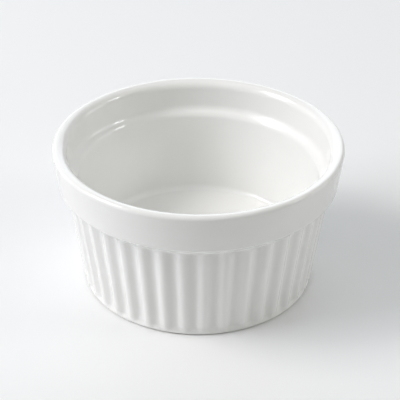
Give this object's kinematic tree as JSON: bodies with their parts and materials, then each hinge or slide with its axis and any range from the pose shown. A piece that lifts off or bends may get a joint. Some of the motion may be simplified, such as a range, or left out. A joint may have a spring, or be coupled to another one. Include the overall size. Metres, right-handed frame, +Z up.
{
  "type": "ramekin",
  "caption": "Round fluted ramekin with a plain collar, a rounded lip, a soft ledge inside and a bare foot ring.",
  "frame": {"origin": "centre of the foot ring, on the plane that the ramekin stands on", "axes": "+Z up out of the mouth, +X and +Y each through the crest of a rib"},
  "size_m": [0.09, 0.09, 0.0473],
  "materials": {
    "bare_clay": "matt, unglazed",
    "white_glaze": "smooth, glossy"
  },
  "bodies": {
    "root": {"ceramic_body": "bare_clay", "glaze_coat": "white_glaze", "underside_glaze": "white_glaze"}
  },
  "joints": []
}
